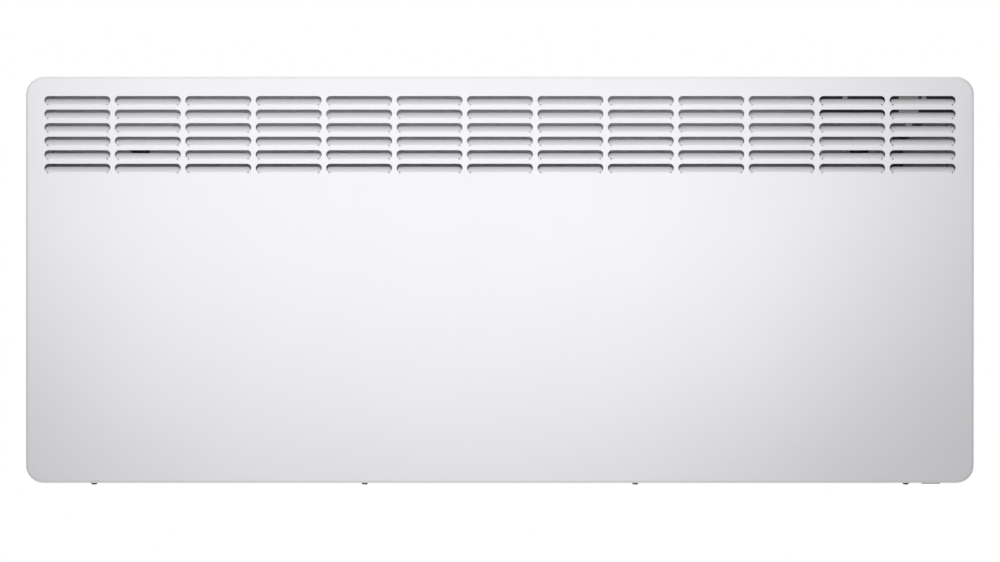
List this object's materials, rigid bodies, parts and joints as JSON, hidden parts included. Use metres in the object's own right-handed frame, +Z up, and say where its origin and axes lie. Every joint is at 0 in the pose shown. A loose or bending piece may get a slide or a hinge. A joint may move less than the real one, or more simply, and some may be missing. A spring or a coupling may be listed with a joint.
{
  "type": "wall panel convector heater",
  "caption": "Flat white wall convector with lanced louvres, an extruded element in a duct, top controls, a rocker switch, and a hooked wall bracket with sprung catches.",
  "frame": {"origin": "on the wall plane, at the middle of the four wall screws, behind the middle of the casing", "axes": "+X to the right seen from the room, +Y back to the wall, +Z up; the front face is at Y = -0.100 m"},
  "size_m": [1.05, 0.1, 0.4523],
  "materials": {
    "white_coat": "satin powder coat",
    "galvanised": "hot-dip galvanised sheet",
    "bright_shield": "bright rolled sheet",
    "extruded_aluminium": "matt extrusion",
    "sheath_steel": "drawn tube, heat-tinted",
    "ceramic": "fired ceramic",
    "zinc_fastener": "bright zinc plate",
    "dark_fastener": "blackened steel",
    "black_catch": "black powder coat",
    "spring_steel": "blued spring strip",
    "tin_plate": "tinned spade tab",
    "dark_plastic": "fine-textured moulding",
    "white_plastic": "semi-gloss moulding",
    "key_plastic": "matt moulding",
    "clear_pane": "clear moulded pane",
    "display_glass": "unlit liquid crystal display",
    "board_green": "solder-masked laminate",
    "black_component": "moulded component case",
    "relay_case": "moulded relay case",
    "natural_nylon": "natural nylon",
    "grey_rocker": "moulded rocker",
    "black_sleeve": "woven wiring sleeve",
    "lead_insulation": "silicone insulation",
    "soft_rubber": "moulded rubber",
    "sensor_bead": "epoxy-dipped bead"
  },
  "bodies": {
    "wall_bracket": {"bracket_leg_left": "galvanised", "bracket_leg_right": "galvanised", "bracket_rail_upper": "galvanised", "bracket_rail_lower": "galvanised", "catch_spring_left": "spring_steel", "catch_spring_right": "spring_steel"},
    "heater": {"front_cover": "white_coat", "cover_screws": "dark_fastener", "rear_panel": "galvanised", "base_grille": "galvanised", "duct_end_left": "galvanised", "partition": "galvanised", "heat_shield": "bright_shield", "heating_element": "extruded_aluminium", "element_sheath": "sheath_steel", "element_bushes": "ceramic", "element_terminals": "tin_plate", "thermal_cutout": "black_component", "control_housing": "dark_plastic", "control_fascia": "white_plastic", "display_window": "clear_pane", "display_module": "display_glass", "control_board": "board_green", "key_switches": "black_component", "unit_clip": "zinc_fastener", "unit_screws": "zinc_fastener", "board_carrier": "dark_plastic", "power_board": "board_green", "relay": "relay_case", "triac_heatsink": "extruded_aluminium", "board_plug": "natural_nylon", "terminal_block": "natural_nylon", "terminal_screws": "zinc_fastener", "earth_stud": "zinc_fastener", "cable_bush": "soft_rubber", "switch_body": "dark_plastic", "switch_terminals": "tin_plate", "sensor_post": "natural_nylon", "room_sensor": "sensor_bead", "control_trunk": "black_sleeve", "element_lead": "lead_insulation", "switch_lead": "lead_insulation"},
    "rocker": {"rocker": "grey_rocker"},
    "catch_left": {"catch_left": "black_catch"},
    "catch_right": {"catch_right": "black_catch"},
    "key_menu": {"key_menu": "key_plastic"},
    "key_minus": {"key_minus": "key_plastic"},
    "key_plus": {"key_plus": "key_plastic"},
    "key_ok": {"key_ok": "key_plastic"}
  },
  "joints": [
    {"name": "tilt_forward", "type": "hinge", "parent": "wall_bracket", "child": "heater", "pos_m": [0, -0.016, -0.1868], "axis": [1, 0, 0], "range_deg": [0, 15]},
    {"name": "catch_left_pull", "type": "slide", "parent": "wall_bracket", "child": "catch_left", "axis": [0, 0, 1], "range_m": [0, 0.005], "stiffness_N_per_m": 800, "springref_m": -0.003, "deforming": ["catch_spring_left"]},
    {"name": "catch_right_pull", "type": "slide", "parent": "wall_bracket", "child": "catch_right", "axis": [0, 0, 1], "range_m": [0, 0.005], "stiffness_N_per_m": 800, "springref_m": -0.003, "deforming": ["catch_spring_right"]},
    {"name": "rocker_tip", "type": "hinge", "parent": "heater", "child": "rocker", "pos_m": [0.479, -0.06, -0.219], "axis": [-1, 0, 0], "range_deg": [0, 16]},
    {"name": "key_menu_press", "type": "slide", "parent": "heater", "child": "key_menu", "axis": [0, 0, -1], "range_m": [0, 0.0006], "stiffness_N_per_m": 1200, "springref_m": -0.0005},
    {"name": "key_minus_press", "type": "slide", "parent": "heater", "child": "key_minus", "axis": [0, 0, -1], "range_m": [0, 0.0006], "stiffness_N_per_m": 1200, "springref_m": -0.0005},
    {"name": "key_plus_press", "type": "slide", "parent": "heater", "child": "key_plus", "axis": [0, 0, -1], "range_m": [0, 0.0006], "stiffness_N_per_m": 1200, "springref_m": -0.0005},
    {"name": "key_ok_press", "type": "slide", "parent": "heater", "child": "key_ok", "axis": [0, 0, -1], "range_m": [0, 0.0006], "stiffness_N_per_m": 1200, "springref_m": -0.0005}
  ]
}
